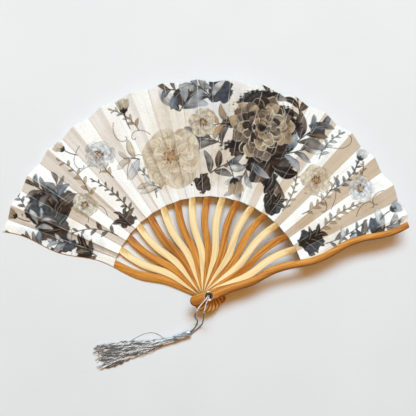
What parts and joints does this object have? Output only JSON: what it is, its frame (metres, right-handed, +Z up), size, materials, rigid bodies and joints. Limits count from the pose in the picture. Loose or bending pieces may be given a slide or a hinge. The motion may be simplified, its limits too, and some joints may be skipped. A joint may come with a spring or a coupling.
{
  "type": "hand fan",
  "caption": "Folding hand fan, lying open: waved two-colour bamboo sticks on a hollow rivet, a pleated printed cloth leaf, and a tassel on a thin cord.",
  "frame": {"origin": "on the rivet's axis, at the back face of the rear guard", "axes": "+Z up out of the fan's front, +Y along the middle of the open fan, +X towards the front guard's side"},
  "size_m": [0.406, 0.2897, 0.0271],
  "materials": {
    "guard_bamboo": "satin varnish",
    "brown_bamboo": "satin varnish",
    "cream_bamboo": "satin",
    "leaf_cloth": "printed satin",
    "rivet_metal": "polished",
    "cord": "twisted thread",
    "thread_wrap": "wound thread",
    "thread": "silky thread"
  },
  "bodies": {
    "rear_guard": {"rear_guard": "guard_bamboo", "leaf_panel_00": "leaf_cloth", "leaf_fold_00": "leaf_cloth", "rivet_eyelet": "rivet_metal", "rivet_washer": "rivet_metal", "cord_left": "cord", "cord_right": "cord", "cord_knot": "cord", "tassel_head": "thread_wrap", "tassel_collar": "thread_wrap", "tassel_binding": "thread_wrap", "tassel_skirt": "thread"},
    "rib_01": {"rib_01": "cream_bamboo", "leaf_panel_01": "leaf_cloth", "leaf_fold_01": "leaf_cloth"},
    "rib_02": {"rib_02": "brown_bamboo", "leaf_panel_02": "leaf_cloth", "leaf_fold_02": "leaf_cloth"},
    "rib_03": {"rib_03": "cream_bamboo", "leaf_panel_03": "leaf_cloth", "leaf_fold_03": "leaf_cloth"},
    "rib_04": {"rib_04": "brown_bamboo", "leaf_panel_04": "leaf_cloth", "leaf_fold_04": "leaf_cloth"},
    "rib_05": {"rib_05": "cream_bamboo", "leaf_panel_05": "leaf_cloth", "leaf_fold_05": "leaf_cloth"},
    "rib_06": {"rib_06": "brown_bamboo", "leaf_panel_06": "leaf_cloth", "leaf_fold_06": "leaf_cloth"},
    "rib_07": {"rib_07": "cream_bamboo", "leaf_panel_07": "leaf_cloth", "leaf_fold_07": "leaf_cloth"},
    "rib_08": {"rib_08": "brown_bamboo", "leaf_panel_08": "leaf_cloth", "leaf_fold_08": "leaf_cloth"},
    "rib_09": {"rib_09": "cream_bamboo", "leaf_panel_09": "leaf_cloth", "leaf_fold_09": "leaf_cloth"},
    "rib_10": {"rib_10": "brown_bamboo", "leaf_panel_10": "leaf_cloth", "leaf_fold_10": "leaf_cloth"},
    "rib_11": {"rib_11": "cream_bamboo", "leaf_panel_11": "leaf_cloth", "leaf_fold_11": "leaf_cloth"},
    "rib_12": {"rib_12": "brown_bamboo", "leaf_panel_12": "leaf_cloth", "leaf_fold_12": "leaf_cloth"},
    "rib_13": {"rib_13": "cream_bamboo", "leaf_panel_13": "leaf_cloth", "leaf_fold_13": "leaf_cloth"},
    "rib_14": {"rib_14": "brown_bamboo", "leaf_panel_14": "leaf_cloth", "leaf_fold_14": "leaf_cloth"},
    "rib_15": {"rib_15": "cream_bamboo", "leaf_panel_15": "leaf_cloth", "leaf_fold_15": "leaf_cloth"},
    "front_guard": {"front_guard": "guard_bamboo", "leaf_panel_16": "leaf_cloth"}
  },
  "joints": [
    {"name": "turn_01", "type": "hinge", "parent": "rear_guard", "child": "rib_01", "pos_m": [0, 0, 0], "axis": [0, 0, 1], "range_deg": [0, 8.9], "deforming": ["leaf_fold_00"]},
    {"name": "turn_02", "type": "hinge", "parent": "rib_01", "child": "rib_02", "pos_m": [0, 0, 0], "axis": [0, 0, 1], "range_deg": [0, 8.9], "deforming": ["leaf_fold_01"]},
    {"name": "turn_03", "type": "hinge", "parent": "rib_02", "child": "rib_03", "pos_m": [0, 0, 0], "axis": [0, 0, 1], "range_deg": [0, 8.9], "deforming": ["leaf_fold_02"]},
    {"name": "turn_04", "type": "hinge", "parent": "rib_03", "child": "rib_04", "pos_m": [0, 0, 0], "axis": [0, 0, 1], "range_deg": [0, 8.9], "deforming": ["leaf_fold_03"]},
    {"name": "turn_05", "type": "hinge", "parent": "rib_04", "child": "rib_05", "pos_m": [0, 0, 0], "axis": [0, 0, 1], "range_deg": [0, 8.9], "deforming": ["leaf_fold_04"]},
    {"name": "turn_06", "type": "hinge", "parent": "rib_05", "child": "rib_06", "pos_m": [0, 0, 0], "axis": [0, 0, 1], "range_deg": [0, 8.9], "deforming": ["leaf_fold_05"]},
    {"name": "turn_07", "type": "hinge", "parent": "rib_06", "child": "rib_07", "pos_m": [0, 0, 0], "axis": [0, 0, 1], "range_deg": [0, 8.9], "deforming": ["leaf_fold_06"]},
    {"name": "turn_08", "type": "hinge", "parent": "rib_07", "child": "rib_08", "pos_m": [0, 0, 0], "axis": [0, 0, 1], "range_deg": [0, 8.9], "deforming": ["leaf_fold_07"]},
    {"name": "turn_09", "type": "hinge", "parent": "rib_08", "child": "rib_09", "pos_m": [0, 0, 0], "axis": [0, 0, 1], "range_deg": [0, 8.9], "deforming": ["leaf_fold_08"]},
    {"name": "turn_10", "type": "hinge", "parent": "rib_09", "child": "rib_10", "pos_m": [0, 0, 0], "axis": [0, 0, 1], "range_deg": [0, 8.9], "deforming": ["leaf_fold_09"]},
    {"name": "turn_11", "type": "hinge", "parent": "rib_10", "child": "rib_11", "pos_m": [0, 0, 0], "axis": [0, 0, 1], "range_deg": [0, 8.9], "deforming": ["leaf_fold_10"]},
    {"name": "turn_12", "type": "hinge", "parent": "rib_11", "child": "rib_12", "pos_m": [0, 0, 0], "axis": [0, 0, 1], "range_deg": [0, 8.9], "deforming": ["leaf_fold_11"]},
    {"name": "turn_13", "type": "hinge", "parent": "rib_12", "child": "rib_13", "pos_m": [0, 0, 0], "axis": [0, 0, 1], "range_deg": [0, 8.9], "deforming": ["leaf_fold_12"]},
    {"name": "turn_14", "type": "hinge", "parent": "rib_13", "child": "rib_14", "pos_m": [0, 0, 0], "axis": [0, 0, 1], "range_deg": [0, 8.9], "deforming": ["leaf_fold_13"]},
    {"name": "turn_15", "type": "hinge", "parent": "rib_14", "child": "rib_15", "pos_m": [0, 0, 0], "axis": [0, 0, 1], "range_deg": [0, 8.9], "deforming": ["leaf_fold_14"]},
    {"name": "turn_16", "type": "hinge", "parent": "rib_15", "child": "front_guard", "pos_m": [0, 0, 0], "axis": [0, 0, 1], "range_deg": [0, 8.9], "deforming": ["leaf_fold_15"]}
  ],
  "couplings": [
    {"joint": "turn_02", "follows": "turn_01", "ratio": 1},
    {"joint": "turn_03", "follows": "turn_01", "ratio": 1},
    {"joint": "turn_04", "follows": "turn_01", "ratio": 1},
    {"joint": "turn_05", "follows": "turn_01", "ratio": 1},
    {"joint": "turn_06", "follows": "turn_01", "ratio": 1},
    {"joint": "turn_07", "follows": "turn_01", "ratio": 1},
    {"joint": "turn_08", "follows": "turn_01", "ratio": 1},
    {"joint": "turn_09", "follows": "turn_01", "ratio": 1},
    {"joint": "turn_10", "follows": "turn_01", "ratio": 1},
    {"joint": "turn_11", "follows": "turn_01", "ratio": 1},
    {"joint": "turn_12", "follows": "turn_01", "ratio": 1},
    {"joint": "turn_13", "follows": "turn_01", "ratio": 1},
    {"joint": "turn_14", "follows": "turn_01", "ratio": 1},
    {"joint": "turn_15", "follows": "turn_01", "ratio": 1},
    {"joint": "turn_16", "follows": "turn_01", "ratio": 1}
  ]
}
